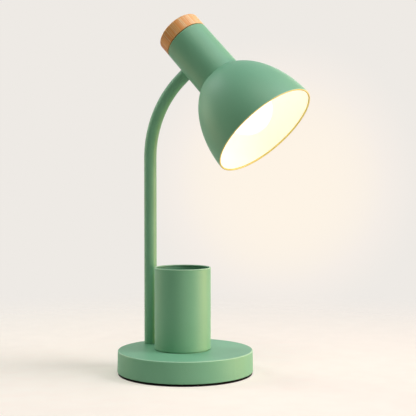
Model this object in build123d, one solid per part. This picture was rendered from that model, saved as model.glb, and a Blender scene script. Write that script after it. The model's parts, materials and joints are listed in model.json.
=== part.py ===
from build123d import *

import os
from math import cos, degrees, hypot, radians, sin, sqrt, tan

# A desk lamp whose round base carries a pen cup and a bent stem. Millimetres and degrees.
# The origin is the centre of the base's underside, +Z is up and +X is the way the head points.

# Base, seen from the table up
BASE_DIA = 160.0
BASE_DRAFT = 0.5            # the cover is this much slimmer, in radius, at its top
BASE_HEIGHT = 28.0
BASE_EDGE_RADIUS = 1.0
BASE_FOOT_RADIUS = 0.6
COVER_WALL = 1.5
PAD_THICK = 2.8
PAD_INSET = 0.8
PLATE_THICK = 2.0
PLATE_CLEARANCE = 0.3
WEIGHT_CLEARANCE = 2.0
WIRING_HEIGHT = 9.0         # between the plate and the weight
FOOT_DIA = 16.0
FEET_FROM_EDGE = 24.0
FEET_COUNT = 3
BASE_SCREW_DIA = 3.9
BASE_SCREW_HEAD_DIA = 7.4
BASE_SCREW_DEPTH = 8.0

# Where the stem and the cup stand: on one line through the base's centre, which the arm is
# swivelled away from at rest
SWIVEL_AT_REST = 13.1
STEM_FROM_EDGE = 19.2
STEM_CUP_GAP = 15.65        # clear between the tube and the cup

# Cord inlet and the terminals inside the base
INLET_FROM_STEM = 30.0      # degrees round the base, at the back
FOOT_FROM_INLET = 30.0
INLET_HEIGHT_ABOVE_PLATE = 6.8
INLET_HOLE_DIA = 10.0
INLET_BORE_DIA = 6.5
GROMMET_FLANGE_DIA = 13.0
GROMMET_LIP = 1.8
GROMMET_INNER_LIP = 1.0
CHANNEL_WIDTH = 12.0
CHANNEL_DEPTH = 4.0
BLOCK_LENGTH = 12.0
BLOCK_WIDTH = 20.0
BLOCK_CLEARANCE = 0.6
BLOCK_FROM_EDGE = 28.0
POLE_SPACING = 10.0
CLAMP_DIA = 4.0
CLAMP_BORE = 2.6
CLAMP_LENGTH = 10.0
CLAMP_SCREW_DIA = 2.6
CLAMP_SCREW_SPACING = 5.0
CLAMP_SCREW_INSET = 0.6
SCREW_SLOT_WIDTH = 0.5
SCREW_SLOT_DEPTH = 0.6
LEAD_DIA = 3.2
LEAD_BEND_RADIUS = 2.5
LEAD_STRAIGHT_LENGTH = 6.0
LEAD_PLATE_GAP = 0.1
BASE_LEAD_BEND_RADIUS = 6.0
BASE_LEAD_STRAIGHT_LENGTH = 18.0

# Pen cup
CUP_DIA = 66.4
CUP_HEIGHT = 97.1
CUP_WALL = 1.4
CUP_FLOOR = 1.8
CUP_EDGE_RADIUS = 0.7
CUP_FOOT_HEIGHT = 0.8       # the foot lifts the wall clear of the base
CUP_FOOT_INSET = 1.6
CUP_RIM_DIA = 2.2
CUP_RIM_PROUD = 0.25        # the rolled rim stands this far out from the wall
CUP_SCREW_DIA = 3.9
CUP_SCREW_HEAD_DIA = 8.0
CUP_SCREW_HEAD_THICK = 2.4
CUP_SCREW_SPACING = 24.0
CUP_SCREW_DEPTH = 9.0

# Stem tube
TUBE_DIA = 15.1
TUBE_WALL = 1.2
BEND_START_HEIGHT = 254.3
BEND_RADIUS = 119.7
BEND_ANGLE = 50.0
TAIL_TO_HINGE = 23.9        # from the end of the bend to the hinge axis

# Swivel in the base
STEM_HOLE_CLEARANCE = 0.4
RUNNING_CLEARANCE = 0.05
BUSH_WALL = 2.0
BUSH_FLANGE_WIDTH = 2.9
BUSH_FLANGE_THICK = 2.0
POCKET_CLEARANCE = 0.6
COLLAR_WIDTH = 4.5
COLLAR_GAP = 0.3
COLLAR_MARGIN = 0.7         # taller than the stop pin's diameter
STOP_PIN_DIA = 2.0
STOP_PIN_REACH = 3.3        # past the collar
STOP_PIN_CLEARANCE = 0.3
SWIVEL_EACH_WAY = 90.0      # from the base line
STUD_DIA = 9.9
STUD_BORE = 4.0
TUBE_HEIGHT_ABOVE_WEIGHT = 1.0  # from the weight's underside to the tube's end
WASHER_DIA = 26.0
WASHER_THICK = 1.4
STEM_NUT_FLATS = 15.0
STEM_NUT_THICK = 2.6
STUD_STANDS_PROUD = 0.2

# Hinge of the head
EYE_DIA = 13.2
EYE_THICK = 7.0
SHOULDER_CLEARANCE = 1.0
SHOULDER_THICK = 1.0
SPIGOT_LENGTH = 14.0
BOLT_DIA = 8.0
BOLT_BORE = 4.4
BOLT_FLATS = 11.0
BOLT_HEAD_THICK = 2.8
HINGE_NUT_THICK = 2.5
BOLT_END_PROUD = 0.6
BOLT_LEAD_BEND_RADIUS = 2.24  # where the lead turns into the bolt
HINGE_CLEARANCE = 0.08
FRICTION_WASHER_THICK = 0.5
SPRING_WASHER_THICK = 1.0
SPRING_WASHER_DIA = 12.4
BRACKET_THICK = 1.5
CHEEK_WEB_GAP = 0.7
TILT_EACH_WAY = 30.0        # from the tube standing square to the neck

# Head: distances are along its axis, back from the shade's mouth, or out from that axis
HEAD_PITCH = 46.0           # the axis points this far below level at rest
HINGE_FROM_SHADE = 38.5     # behind the shade's top
HINGE_FROM_AXIS = 16.0
SHADE_RADIUS = 64.9         # half axis of the egg shape across
SHADE_DEPTH = 98.0          # half axis of the egg shape along
SHADE_MIDDLE = 3.0          # the egg's widest place lies this far beyond the mouth
SHADE_WALL = 1.2
RIM_BEAD_DIA = 2.2          # the wall is rolled inwards at the mouth
SHADE_TOP_RADIUS = 28.3
NECK_DIA = 56.2
NECK_END_DIA = 55.0
NECK_WALL = 1.3
NECK_LENGTH = 66.0
NECK_EDGE_RADIUS = 0.4
NECK_LIP_CLEARANCE = 1.1    # round the pillars
SLOT_CLEARANCE = 0.6

# Lampholder and its ring
HOLDER_DIA = 38.6
HOLDER_HOLE_CLEARANCE = 0.3
HOLDER_FRONT = 5.0          # stands this far in front of the shade's top
HOLDER_FLANGE_DIA = 44.0
HOLDER_FLANGE_THICK = 3.0
HOLDER_CHAMFER = 4.0
HOLDER_FLOOR_GAP = 2.1
RING_THICK = 3.2
RING_DIA = 48.0
RING_CLEARANCE = 0.15
RING_NOTCHES = 12
NOTCH_DIA = 4.0
HOLDER_SCREW_DIA = 3.0
HOLDER_SCREW_HEAD_DIA = 5.6
HOLDER_SCREW_HEAD_THICK = 1.8
HOLDER_SCREW_DEPTH = 5.0
HOLDER_SCREW_SPACING = 18.0
HOLDER_SCREW_OFFSET = -7.0

# Screw thread of the bulb, drawn as rings
THREAD_PITCH = 3.62
THREAD_HEIGHT = 0.5
THREAD_TURNS = 6
CAP_MEAN_RADIUS = 12.3
CAP_WALL = 0.35
SHELL_GAP = 0.25
SHELL_WALL = 0.4

# Bulb
BULB_DIA = 59.0
GLOBE_WALL = 1.2
GLOBE_DEPTH_PAST_CENTRE = 14.7
HOUSING_LENGTH = 28.5
HOUSING_END_DIA = 27.0
HOUSING_GAP = 0.5
BOARD_THICK = 1.4
BOARD_INSET = 1.5
LIGHT_COUNT = 8
LIGHT_SIZE = 3.0
LIGHT_THICK = 0.8
INSULATOR_LENGTH = 3.7
TIP_DIA = 9.0
TIP_LENGTH = 1.5
CONTACT_GAP = 0.3
CONTACT_DIA = 7.0
CONTACT_THICK = 0.8
CONTACT_POST_DIA = 3.0

# Back of the neck: pillars, end plate and dimmer
PILLAR_DIA = 5.0
PILLAR_SPACING = 32.0
PILLAR_OFFSET = -8.0
PILLAR_SPIGOT_DIA = 2.8
WEB_DIA = 41.0
WEB_END_GAP = 1.5           # the bracket's web ends here, short of the tube
END_PLATE_SEAT_WIDTH = 2.1
END_PLATE_THICK = 1.5
PLATE_SCREW_DIA = 2.4
PLATE_SCREW_HEAD_DIA = 5.4
PLATE_SCREW_HEAD_THICK = 1.6
PLATE_SCREW_DEPTH = 7.0
PLATE_SCREW_END_GAP = 1.0
DIMMER_DIA = 24.0
DIMMER_LENGTH = 14.5
DIMMER_BUSH_DIA = 9.8
DIMMER_BUSH_LENGTH = 5.0
DIMMER_NUT_FLATS = 14.0
DIMMER_NUT_THICK = 2.4
SHAFT_DIA = 6.0
SHAFT_IN_DIMMER = 9.0
SHAFT_PAST_BUSH = 8.0
TERMINAL_SPACING = 16.0     # on the dimmer's front
HEAD_LEAD_OFFSET = 4.8
DIMMER_LEAD_OFFSET = -6.0
LEAD_HOLE_OFFSET = -13.0

# Wooden knob
KNOB_INSET = 0.05
KNOB_LENGTH = 16.8
KNOB_GAP = 1.1
KNOB_EDGE_RADIUS = 2.0
KNOB_FOOT_RADIUS = 0.4
KNOB_PLATE_GAP = 0.65
KNOB_SCREW_ROOM = 0.7
KNOB_NUT_ROOM_DIA = 22.0
KNOB_BUSH_ROOM = 1.0
INSERT_DIA = 14.0
INSERT_LENGTH = 8.2
INSERT_FLANGE_DIA = 18.0
INSERT_FLANGE_THICK = 1.0
FIT = 0.02                  # between pieces that are pressed or screwed together
SCREW_FIT = 0.05
LEAD_FIT = 0.2
FACE_GAP = 0.3              # between the ends of two leads that meet on a joint's axis
HEX_SOCKET = 0.6            # a screw's socket across its flats, as a share of its diameter

STANDING = (Align.CENTER, Align.CENTER, Align.MIN)

# Heights in the base
plate_top = PAD_THICK + PLATE_THICK
cover_ceiling = BASE_HEIGHT - COVER_WALL
weight_bottom = plate_top + WIRING_HEIGHT
weight_radius = BASE_DIA / 2 - COVER_WALL - BASE_DRAFT - WEIGHT_CLEARANCE
block_height = WIRING_HEIGHT - BLOCK_CLEARANCE
tube_radius = TUBE_DIA / 2
tube_bore_radius = tube_radius - TUBE_WALL
bush_radius = tube_radius + RUNNING_CLEARANCE + BUSH_WALL
bush_flange_radius = bush_radius + BUSH_FLANGE_WIDTH
collar_radius = tube_radius + COLLAR_WIDTH
pocket_radius = max(bush_flange_radius, collar_radius) + POCKET_CLEARANCE
collar_top = cover_ceiling - COLLAR_GAP
collar_height = STOP_PIN_DIA + COLLAR_MARGIN
collar_bottom = collar_top - collar_height
pocket_floor = collar_bottom - BUSH_FLANGE_THICK
washer_bottom = weight_bottom - WASHER_THICK
stem_nut_bottom = washer_bottom - STEM_NUT_THICK
stud_bottom = stem_nut_bottom - STUD_STANDS_PROUD
tube_bottom = weight_bottom + TUBE_HEIGHT_ABOVE_WEIGHT
lead_radius = LEAD_DIA / 2

# Distances back from the mouth, along the head's axis
shade_back = SHADE_DEPTH * sqrt(1 - (SHADE_TOP_RADIUS / SHADE_RADIUS) ** 2) - SHADE_MIDDLE
neck_back = shade_back + NECK_LENGTH
hinge_from_mouth = shade_back + HINGE_FROM_SHADE
web_back = hinge_from_mouth - EYE_DIA / 2 - CHEEK_WEB_GAP
holder_back = web_back - BRACKET_THICK
holder_front = shade_back - SHADE_WALL - HOLDER_FRONT
housing_end = holder_front - HOUSING_GAP
globe_end = housing_end - HOUSING_LENGTH
bulb_centre = globe_end - GLOBE_DEPTH_PAST_CENTRE
plate_back = neck_back + END_PLATE_THICK
dimmer_front = neck_back - DIMMER_LENGTH
bush_back = neck_back + DIMMER_BUSH_LENGTH
knob_front = neck_back + KNOB_GAP
knob_back = knob_front + KNOB_LENGTH
insert_front = bush_back + KNOB_BUSH_ROOM
cap_back = housing_end + THREAD_PITCH * (THREAD_TURNS + 0.5)
tip_front = cap_back + INSULATOR_LENGTH
tip_back = tip_front + TIP_LENGTH
holder_floor = tip_back + HOLDER_FLOOR_GAP

# Radii in the head
holder_bore_radius = CAP_MEAN_RADIUS + CAP_WALL + SHELL_GAP + THREAD_HEIGHT + SHELL_WALL + FIT
lip_radius = hypot(PILLAR_OFFSET, PILLAR_SPACING / 2) + PILLAR_DIA / 2 + NECK_LIP_CLEARANCE
end_plate_radius = lip_radius + END_PLATE_SEAT_WIDTH
knob_radius = NECK_END_DIA / 2 - KNOB_INSET
knob_room_radius = end_plate_radius + KNOB_PLATE_GAP

# The hinge: along the tube from its axis, and out from its middle
shoulder_from_hinge = EYE_DIA / 2 + SHOULDER_CLEARANCE
cheek_inside = EYE_THICK / 2 + FRICTION_WASHER_THICK
cheek_outside = cheek_inside + BRACKET_THICK
stack_outside = cheek_outside + SPRING_WASHER_THICK
bolt_end = stack_outside + HINGE_NUT_THICK + BOLT_END_PROUD

# Frames that the pieces are drawn in
stem_from_centre = BASE_DIA / 2 - STEM_FROM_EDGE
cup_from_stem = CUP_DIA / 2 + TUBE_DIA / 2 + STEM_CUP_GAP
inlet_angle = 180 - INLET_FROM_STEM
block_from_centre = BASE_DIA / 2 - BLOCK_FROM_EDGE
base_frame = Location((0, 0, 0), (0, 0, -SWIVEL_AT_REST))
stem_place = (base_frame * Pos(-stem_from_centre, 0, 0)).position
arm_frame = Location(stem_place)

tail_direction = Vector(sin(radians(BEND_ANGLE)), 0, cos(radians(BEND_ANGLE)))
bend_end = stem_place + Vector(
    BEND_RADIUS * (1 - cos(radians(BEND_ANGLE))),
    0,
    BEND_START_HEIGHT + BEND_RADIUS * sin(radians(BEND_ANGLE)),
)
hinge_point = bend_end + tail_direction * TAIL_TO_HINGE
tail_frame = Plane(
    origin=hinge_point,
    x_dir=Vector(tail_direction.Z, 0, -tail_direction.X),
    z_dir=tail_direction,
).location

# In the head's frame Z runs back from the mouth, and X runs out on the side of the tube
back_direction = Vector(-cos(radians(HEAD_PITCH)), 0, sin(radians(HEAD_PITCH)))
under_direction = Vector(-sin(radians(HEAD_PITCH)), 0, -cos(radians(HEAD_PITCH)))
mouth_centre = hinge_point - under_direction * HINGE_FROM_AXIS - back_direction * hinge_from_mouth
head_frame = Plane(origin=mouth_centre, x_dir=under_direction, z_dir=back_direction).location


def disc(radius, low, high, bore=0.0):
    """A round piece between two heights, with an optional bore of the given radius."""
    body = Pos(0, 0, low) * Cylinder(radius, high - low, align=STANDING)
    if bore > 0:
        body -= Pos(0, 0, low) * Cylinder(bore, high - low, align=STANDING)
    return body


def hexagon(flats, low, high, bore=0.0):
    """A hexagonal nut or head between two heights."""
    body = Pos(0, 0, low) * extrude(RegularPolygon(flats / 2, 6, major_radius=False), high - low)
    if bore > 0:
        body -= disc(bore, low, high)
    return body


def spun(profile):
    """A profile, drawn as radius and height, turned about the Z axis."""
    return revolve(Plane.XZ * profile, axis=Axis.Z)


def cross_hinge(piece):
    """A piece drawn along Z, laid along the hinge axis, Y."""
    return Rot(-90, 0, 0) * piece


def lead_along(path, radius):
    """A round lead along a path."""
    return sweep(Plane(origin=path @ 0, z_dir=path % 0) * Circle(radius), path=path)


def around(count, radius, start=0.0):
    """Places spaced evenly round the Z axis."""
    return [Rot(0, 0, start + 360 * step / count) * Pos(radius, 0, 0) for step in range(count)]


def across(spacing, offset=0.0):
    """Two places side by side along Y."""
    return [Pos(offset, side * spacing / 2, 0) for side in (-1, 1)]


# Base

feet_places = around(FEET_COUNT, BASE_DIA / 2 - FEET_FROM_EDGE, inlet_angle - FOOT_FROM_INLET)
stem_axis = Pos(-stem_from_centre, 0, 0)
cup_axis = Pos(cup_from_stem - stem_from_centre, 0, 0)
cup_screw_places = [cup_axis * place for place in across(CUP_SCREW_SPACING)]
inlet_axis = Rot(0, 0, inlet_angle) * Pos(0, 0, plate_top + INLET_HEIGHT_ABOVE_PLATE) * Rot(0, 90, 0)
block_place = Rot(0, 0, inlet_angle) * Pos(block_from_centre, 0, plate_top)


def base_cover():
    height = BASE_HEIGHT - PAD_THICK
    low_radius = BASE_DIA / 2
    shell = Pos(0, 0, PAD_THICK) * Cone(low_radius, low_radius - BASE_DRAFT, height, align=STANDING)
    shell = fillet(shell.edges().group_by(Axis.Z)[-1], BASE_EDGE_RADIUS)
    shell = fillet(shell.edges().group_by(Axis.Z)[0], BASE_FOOT_RADIUS)
    room = Cone(
        low_radius - COVER_WALL,
        low_radius - COVER_WALL - BASE_DRAFT,
        height - COVER_WALL,
        align=STANDING,
    )
    shell -= Pos(0, 0, PAD_THICK) * room
    shell -= stem_axis * disc(tube_radius + STEM_HOLE_CLEARANCE, weight_bottom, BASE_HEIGHT)
    for place in cup_screw_places:
        shell -= place * disc(CUP_SCREW_DIA / 2 + SCREW_FIT, weight_bottom, BASE_HEIGHT)
    shell -= inlet_axis * disc(INLET_HOLE_DIA / 2, weight_radius, BASE_DIA)
    return shell


def base_weight():
    body = disc(weight_radius, weight_bottom, cover_ceiling)
    for place in feet_places:
        body += place * disc(FOOT_DIA / 2, plate_top, weight_bottom)
        body -= place * disc(BASE_SCREW_DIA / 2 + SCREW_FIT, plate_top, plate_top + BASE_SCREW_DEPTH)
    body -= stem_axis * disc(bush_radius + FIT, weight_bottom, cover_ceiling)
    body -= stem_axis * disc(pocket_radius, pocket_floor, cover_ceiling)
    body -= stem_axis * stop_groove()
    for place in cup_screw_places:
        hole_bottom = cover_ceiling - CUP_SCREW_DEPTH
        body -= place * disc(CUP_SCREW_DIA / 2 + SCREW_FIT, hole_bottom, cover_ceiling)
    channel_length = weight_radius - block_from_centre
    channel = Box(
        channel_length, CHANNEL_WIDTH, CHANNEL_DEPTH, align=(Align.MIN, Align.CENTER, Align.MIN)
    )
    body -= Rot(0, 0, inlet_angle) * Pos(block_from_centre, 0, weight_bottom) * channel
    return body


def stop_groove():
    """The groove that the stop pin travels in, open towards the cup."""
    pin_room = STOP_PIN_DIA / 2 + STOP_PIN_CLEARANCE
    half_sweep = SWIVEL_EACH_WAY + degrees(pin_room / pocket_radius)
    outer = collar_radius + STOP_PIN_REACH + 2 * STOP_PIN_CLEARANCE
    low = (collar_bottom + collar_top) / 2 - pin_room
    height = cover_ceiling - low
    groove = Cylinder(outer, height, arc_size=2 * half_sweep, align=(Align.NONE, Align.NONE, Align.MIN))
    return Rot(0, 0, -half_sweep) * Pos(0, 0, low) * groove


def base_plate():
    plate = disc(BASE_DIA / 2 - COVER_WALL - PLATE_CLEARANCE, PAD_THICK, plate_top)
    for place in feet_places:
        sink = Cone(
            BASE_SCREW_HEAD_DIA / 2 + SCREW_FIT,
            BASE_SCREW_DIA / 2 + SCREW_FIT,
            PLATE_THICK,
            align=STANDING,
        )
        plate -= place * Pos(0, 0, PAD_THICK) * sink
    return plate


def base_screws():
    head = Cone(BASE_SCREW_HEAD_DIA / 2, BASE_SCREW_DIA / 2, PLATE_THICK, align=STANDING)
    screw = Pos(0, 0, PAD_THICK) * head
    screw += disc(BASE_SCREW_DIA / 2, plate_top, plate_top + BASE_SCREW_DEPTH)
    screw -= hexagon(BASE_SCREW_DIA * HEX_SOCKET, PAD_THICK, PAD_THICK + PLATE_THICK / 2)
    return Compound([place * screw for place in feet_places])


def foot_pad():
    pad = disc(BASE_DIA / 2 - PAD_INSET, 0, PAD_THICK)
    return fillet(pad.edges().group_by(Axis.Z)[0], PAD_THICK / 4)


def cord_grommet():
    flange = GROMMET_FLANGE_DIA / 2
    outer_face = BASE_DIA / 2
    inner_face = sqrt((BASE_DIA / 2 - BASE_DRAFT - COVER_WALL) ** 2 - flange**2)
    lip = fillet(
        disc(flange, outer_face, outer_face + GROMMET_LIP).edges().group_by(Axis.Z)[-1],
        GROMMET_LIP / 3,
    )
    ring = lip + disc(INLET_HOLE_DIA / 2 - SCREW_FIT, inner_face, outer_face)
    ring += disc(flange, inner_face - GROMMET_INNER_LIP, inner_face)
    ring -= disc(INLET_BORE_DIA / 2, inner_face - GROMMET_INNER_LIP, outer_face + GROMMET_LIP)
    return inlet_axis * ring


def pole_places():
    return [Pos(0, side * POLE_SPACING / 2, block_height / 2) for side in (-1, 1)]


def clamp_screw_places():
    step = CLAMP_SCREW_SPACING / 2
    return [Pos(end * step, side * POLE_SPACING / 2, 0) for end in (-1, 1) for side in (-1, 1)]


def terminal_block():
    block = Box(BLOCK_LENGTH, BLOCK_WIDTH, block_height, align=STANDING)
    for place in pole_places():
        block -= place * Rot(0, 90, 0) * Cylinder(CLAMP_DIA / 2 + FIT, BLOCK_LENGTH)
    for place in clamp_screw_places():
        block -= place * disc(CLAMP_SCREW_DIA / 2 + FIT, block_height / 2, block_height)
    return block_place * block


def terminal_clamps():
    tube = Cylinder(CLAMP_DIA / 2, CLAMP_LENGTH) - Cylinder(CLAMP_BORE / 2, CLAMP_LENGTH)
    return block_place * Compound([place * Rot(0, 90, 0) * tube for place in pole_places()])


def terminal_screws():
    seat = block_height / 2 + CLAMP_DIA / 2 + FIT
    head_top = block_height - CLAMP_SCREW_INSET
    screw = disc(CLAMP_SCREW_DIA / 2, seat, head_top)
    slot = Box(
        CLAMP_SCREW_DIA,
        SCREW_SLOT_WIDTH,
        SCREW_SLOT_DEPTH,
        align=(Align.CENTER, Align.CENTER, Align.MAX),
    )
    screw -= Pos(0, 0, head_top) * slot
    return block_place * Compound([place * screw for place in clamp_screw_places()])


def base_lead():
    """From the terminal block along the plate, then up to the stem's bore."""
    height = plate_top + lead_radius + LEAD_PLATE_GAP
    block_face = Rot(0, 0, inlet_angle) * Pos(block_from_centre - BLOCK_LENGTH / 2, 0, height)
    turn = block_face * Pos(-BASE_LEAD_STRAIGHT_LENGTH, 0, 0)
    foot = Vector(-stem_from_centre, 0, height)
    end = Vector(-stem_from_centre, 0, stud_bottom - FACE_GAP)
    last_bend = end.Z - foot.Z - LEAD_PLATE_GAP
    points = [block_face.position, turn.position, foot, end]
    return lead_along(
        FilletPolyline(*points, radius=[BASE_LEAD_BEND_RADIUS, last_bend]), lead_radius
    )


# Pen cup


def pen_cup():
    rim_height = BASE_HEIGHT + CUP_HEIGHT - CUP_RIM_DIA / 2
    wall_bottom = BASE_HEIGHT + CUP_FOOT_HEIGHT
    cup = disc(CUP_DIA / 2, wall_bottom, rim_height)
    cup = fillet(cup.edges().group_by(Axis.Z)[0], CUP_EDGE_RADIUS)
    cup += disc(CUP_DIA / 2 - CUP_FOOT_INSET, BASE_HEIGHT, wall_bottom)
    room = disc(CUP_DIA / 2 - CUP_WALL, BASE_HEIGHT + CUP_FLOOR, rim_height)
    cup -= fillet(room.edges().group_by(Axis.Z)[0], CUP_EDGE_RADIUS)
    rim_radius = CUP_DIA / 2 + CUP_RIM_PROUD - CUP_RIM_DIA / 2
    cup += Pos(0, 0, rim_height) * Torus(rim_radius, CUP_RIM_DIA / 2)
    for place in across(CUP_SCREW_SPACING):
        cup -= place * disc(CUP_SCREW_DIA / 2 + SCREW_FIT, BASE_HEIGHT, BASE_HEIGHT + CUP_FLOOR)
    return cup_axis * cup


def cup_screws():
    seat = BASE_HEIGHT + CUP_FLOOR
    head_top = seat + CUP_SCREW_HEAD_THICK
    head = disc(CUP_SCREW_HEAD_DIA / 2, seat, head_top)
    head = fillet(head.edges().group_by(Axis.Z)[-1], CUP_SCREW_HEAD_THICK / 3)
    screw = head + disc(CUP_SCREW_DIA / 2, cover_ceiling - CUP_SCREW_DEPTH, seat)
    screw -= hexagon(CUP_SCREW_DIA * HEX_SOCKET, head_top - CUP_SCREW_HEAD_THICK / 2, head_top)
    return Compound([place * screw for place in cup_screw_places])


# Stem and its swivel


def stem_bush():
    bush = disc(bush_radius, weight_bottom, pocket_floor)
    bush += disc(bush_flange_radius, pocket_floor, collar_bottom)
    return stem_axis * (bush - disc(tube_radius + RUNNING_CLEARANCE, weight_bottom, collar_bottom))


def stem_tube():
    start = Vector(0, 0, tube_bottom)
    bend_start = Vector(0, 0, BEND_START_HEIGHT)
    upright = Line(start, bend_start)
    bend = forward_arc(bend_start, BEND_RADIUS, BEND_ANGLE)
    end = bend @ 1
    tail = Line(end, end + tail_direction * (TAIL_TO_HINGE - shoulder_from_hinge - SHOULDER_THICK))
    section = Plane.XY.offset(tube_bottom) * (Circle(tube_radius) - Circle(tube_bore_radius))
    return sweep(section, path=Wire([upright, bend, tail]))


def forward_arc(start, radius, angle):
    """An arc in the plane of the arm that sets off straight up and bends forward."""
    middle = radians(angle / 2)
    finish = radians(angle)
    return ThreePointArc(
        start,
        start + Vector(radius * (1 - cos(middle)), 0, radius * sin(middle)),
        start + Vector(radius * (1 - cos(finish)), 0, radius * sin(finish)),
    )


def stem_collar():
    collar = disc(collar_radius, collar_bottom, collar_top, bore=tube_radius)
    return collar - stop_pin(fit=FIT, inner_end=tube_bore_radius)


def stop_pin(fit=0.0, inner_end=tube_radius + FIT):
    middle = (collar_bottom + collar_top) / 2
    reach = collar_radius + STOP_PIN_REACH - inner_end
    pin = Cylinder(STOP_PIN_DIA / 2 + fit, reach, align=STANDING)
    return Pos(inner_end, 0, middle) * Rot(0, 90, 0) * pin


def stem_plug():
    plug = disc(tube_bore_radius - FIT, tube_bottom, collar_top)
    plug += disc(STUD_DIA / 2, stud_bottom, tube_bottom)
    return plug - disc(STUD_BORE / 2, stud_bottom, collar_top)


def thrust_washer():
    return disc(WASHER_DIA / 2, washer_bottom, weight_bottom, bore=STUD_DIA / 2 + SCREW_FIT)


def stem_nut():
    return hexagon(STEM_NUT_FLATS, stem_nut_bottom, washer_bottom, bore=STUD_DIA / 2 + FIT)


# Hinge on the end of the stem, drawn with the hinge axis along Y and the tube below


def stem_lead_path():
    """Up the stem to the hinge, then out along the hinge bolt."""
    start = Vector(0, 0, stud_bottom)
    bend = forward_arc(Vector(0, 0, BEND_START_HEIGHT), BEND_RADIUS, BEND_ANGLE)
    hinge = bend @ 1 + tail_direction * TAIL_TO_HINGE
    before = hinge - tail_direction * BOLT_LEAD_BEND_RADIUS
    after = hinge + Vector(0, BOLT_LEAD_BEND_RADIUS, 0)
    turn = ThreePointArc(before, hinge + (after - hinge + before - hinge) * (1 - sqrt(0.5)), after)
    return Wire(
        [
            Line(start, Vector(0, 0, BEND_START_HEIGHT)),
            bend,
            Line(bend @ 1, before),
            turn,
            Line(after, hinge + Vector(0, bolt_end, 0)),
        ]
    )


def stem_lead(radius=lead_radius):
    return lead_along(stem_lead_path(), radius)


def lead_way():
    """The passage for the stem's lead, in the frame of the hinge."""
    passage = stem_lead(lead_radius + LEAD_FIT)
    return tail_frame.inverse() * arm_frame * passage


def knuckle():
    eye = cross_hinge(Cylinder(EYE_DIA / 2, EYE_THICK))
    eye += Box(EYE_DIA, EYE_THICK, shoulder_from_hinge, align=(Align.CENTER, Align.CENTER, Align.MAX))
    tube_end = -shoulder_from_hinge - SHOULDER_THICK
    body = eye + disc(tube_radius, tube_end, -shoulder_from_hinge)
    body += disc(tube_bore_radius - FIT, tube_end - SPIGOT_LENGTH, tube_end)
    body -= cross_hinge(Cylinder(BOLT_DIA / 2 + FIT, EYE_THICK))
    return body - lead_way()


def hinge_bolt():
    shank = disc(BOLT_DIA / 2, -stack_outside, bolt_end)
    head = hexagon(BOLT_FLATS, -stack_outside - BOLT_HEAD_THICK, -stack_outside)
    bolt = cross_hinge(shank + head - disc(BOLT_BORE / 2, 0, bolt_end))
    return bolt - lead_way()


def hinge_nut():
    nut = hexagon(BOLT_FLATS, stack_outside, stack_outside + HINGE_NUT_THICK, bore=BOLT_DIA / 2 + FIT)
    return cross_hinge(nut)


def friction_washers():
    inner = EYE_THICK / 2
    ring = disc(EYE_DIA / 2, inner, cheek_inside, bore=BOLT_DIA / 2 + FIT)
    return Compound([cross_hinge(Rot(flip, 0, 0) * ring) for flip in (0, 180)])


def spring_washers():
    ring = disc(SPRING_WASHER_DIA / 2, cheek_outside, stack_outside, bore=BOLT_DIA / 2 + FIT)
    return Compound([cross_hinge(Rot(flip, 0, 0) * ring) for flip in (0, 180)])


# Head


def hinge_bracket():
    web = disc(WEB_DIA / 2, holder_back, web_back)
    web &= Pos(HINGE_FROM_AXIS - WEB_END_GAP, 0, web_back) * Box(
        2 * WEB_DIA, 2 * WEB_DIA, 4 * BRACKET_THICK, align=(Align.MAX, Align.CENTER, Align.CENTER)
    )
    outline = make_hull(
        (Pos(HINGE_FROM_AXIS, hinge_from_mouth) * Circle(EYE_DIA / 2)).edges()
        + Line((HINGE_FROM_AXIS - EYE_DIA, holder_back), (HINGE_FROM_AXIS, holder_back)).edges()
    )
    outline -= Pos(HINGE_FROM_AXIS, hinge_from_mouth) * Circle(BOLT_DIA / 2 + HINGE_CLEARANCE)
    cheek = extrude(Plane.XZ * outline, BRACKET_THICK)
    bracket = web + Pos(0, -cheek_inside, 0) * cheek + Pos(0, cheek_outside, 0) * cheek
    for place in across(HOLDER_SCREW_SPACING, HOLDER_SCREW_OFFSET):
        bracket -= place * disc(HOLDER_SCREW_DIA / 2 + SCREW_FIT, holder_back, web_back)
    for place in across(PILLAR_SPACING, PILLAR_OFFSET):
        bracket -= place * disc(PILLAR_SPIGOT_DIA / 2 + FIT, holder_back, web_back)
    return bracket - Pos(*lead_hole_place()) * disc(lead_radius + LEAD_FIT, holder_back, web_back)


def lead_hole_place():
    """Where the dimmer's lead goes through the web to the lampholder."""
    return (LEAD_HOLE_OFFSET, 0, 0)


def pillars():
    pillar = disc(PILLAR_DIA / 2, web_back, neck_back)
    pillar += disc(PILLAR_SPIGOT_DIA / 2, holder_back, web_back)
    pillar -= disc(PLATE_SCREW_DIA / 2 + FIT, neck_back - PLATE_SCREW_DEPTH, neck_back)
    return Compound([place * pillar for place in across(PILLAR_SPACING, PILLAR_OFFSET)])


def neck_sleeve():
    outside = [
        (NECK_DIA / 2, shade_back),
        (NECK_END_DIA / 2, neck_back),
        (lip_radius, neck_back),
    ]
    inside = [
        (lip_radius, neck_back - NECK_WALL),
        (NECK_END_DIA / 2 - NECK_WALL, neck_back - NECK_WALL),
        (NECK_DIA / 2 - NECK_WALL, shade_back),
    ]
    sleeve = spun(make_face(Polyline(*outside, *inside, close=True)))
    back_edge = sleeve.edges().group_by(Axis.Z)[-1].sort_by(SortBy.LENGTH)[-1]
    return fillet(back_edge, NECK_EDGE_RADIUS) - tube_slot()


def tube_slot():
    """The slot under the neck that leaves the tube room to lean both ways."""
    lean = radians(TILT_EACH_WAY)
    reach = (NECK_DIA / 2 - HINGE_FROM_AXIS) * tan(lean) + tube_radius / cos(lean) + SLOT_CLEARANCE
    width = TUBE_DIA + 2 * SLOT_CLEARANCE
    outline = SlotOverall(2 * reach, width)
    across_neck = Plane(origin=(0, 0, hinge_from_mouth), x_dir=(0, 0, 1), z_dir=(1, 0, 0))
    return extrude(across_neck * outline, NECK_DIA)


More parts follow.
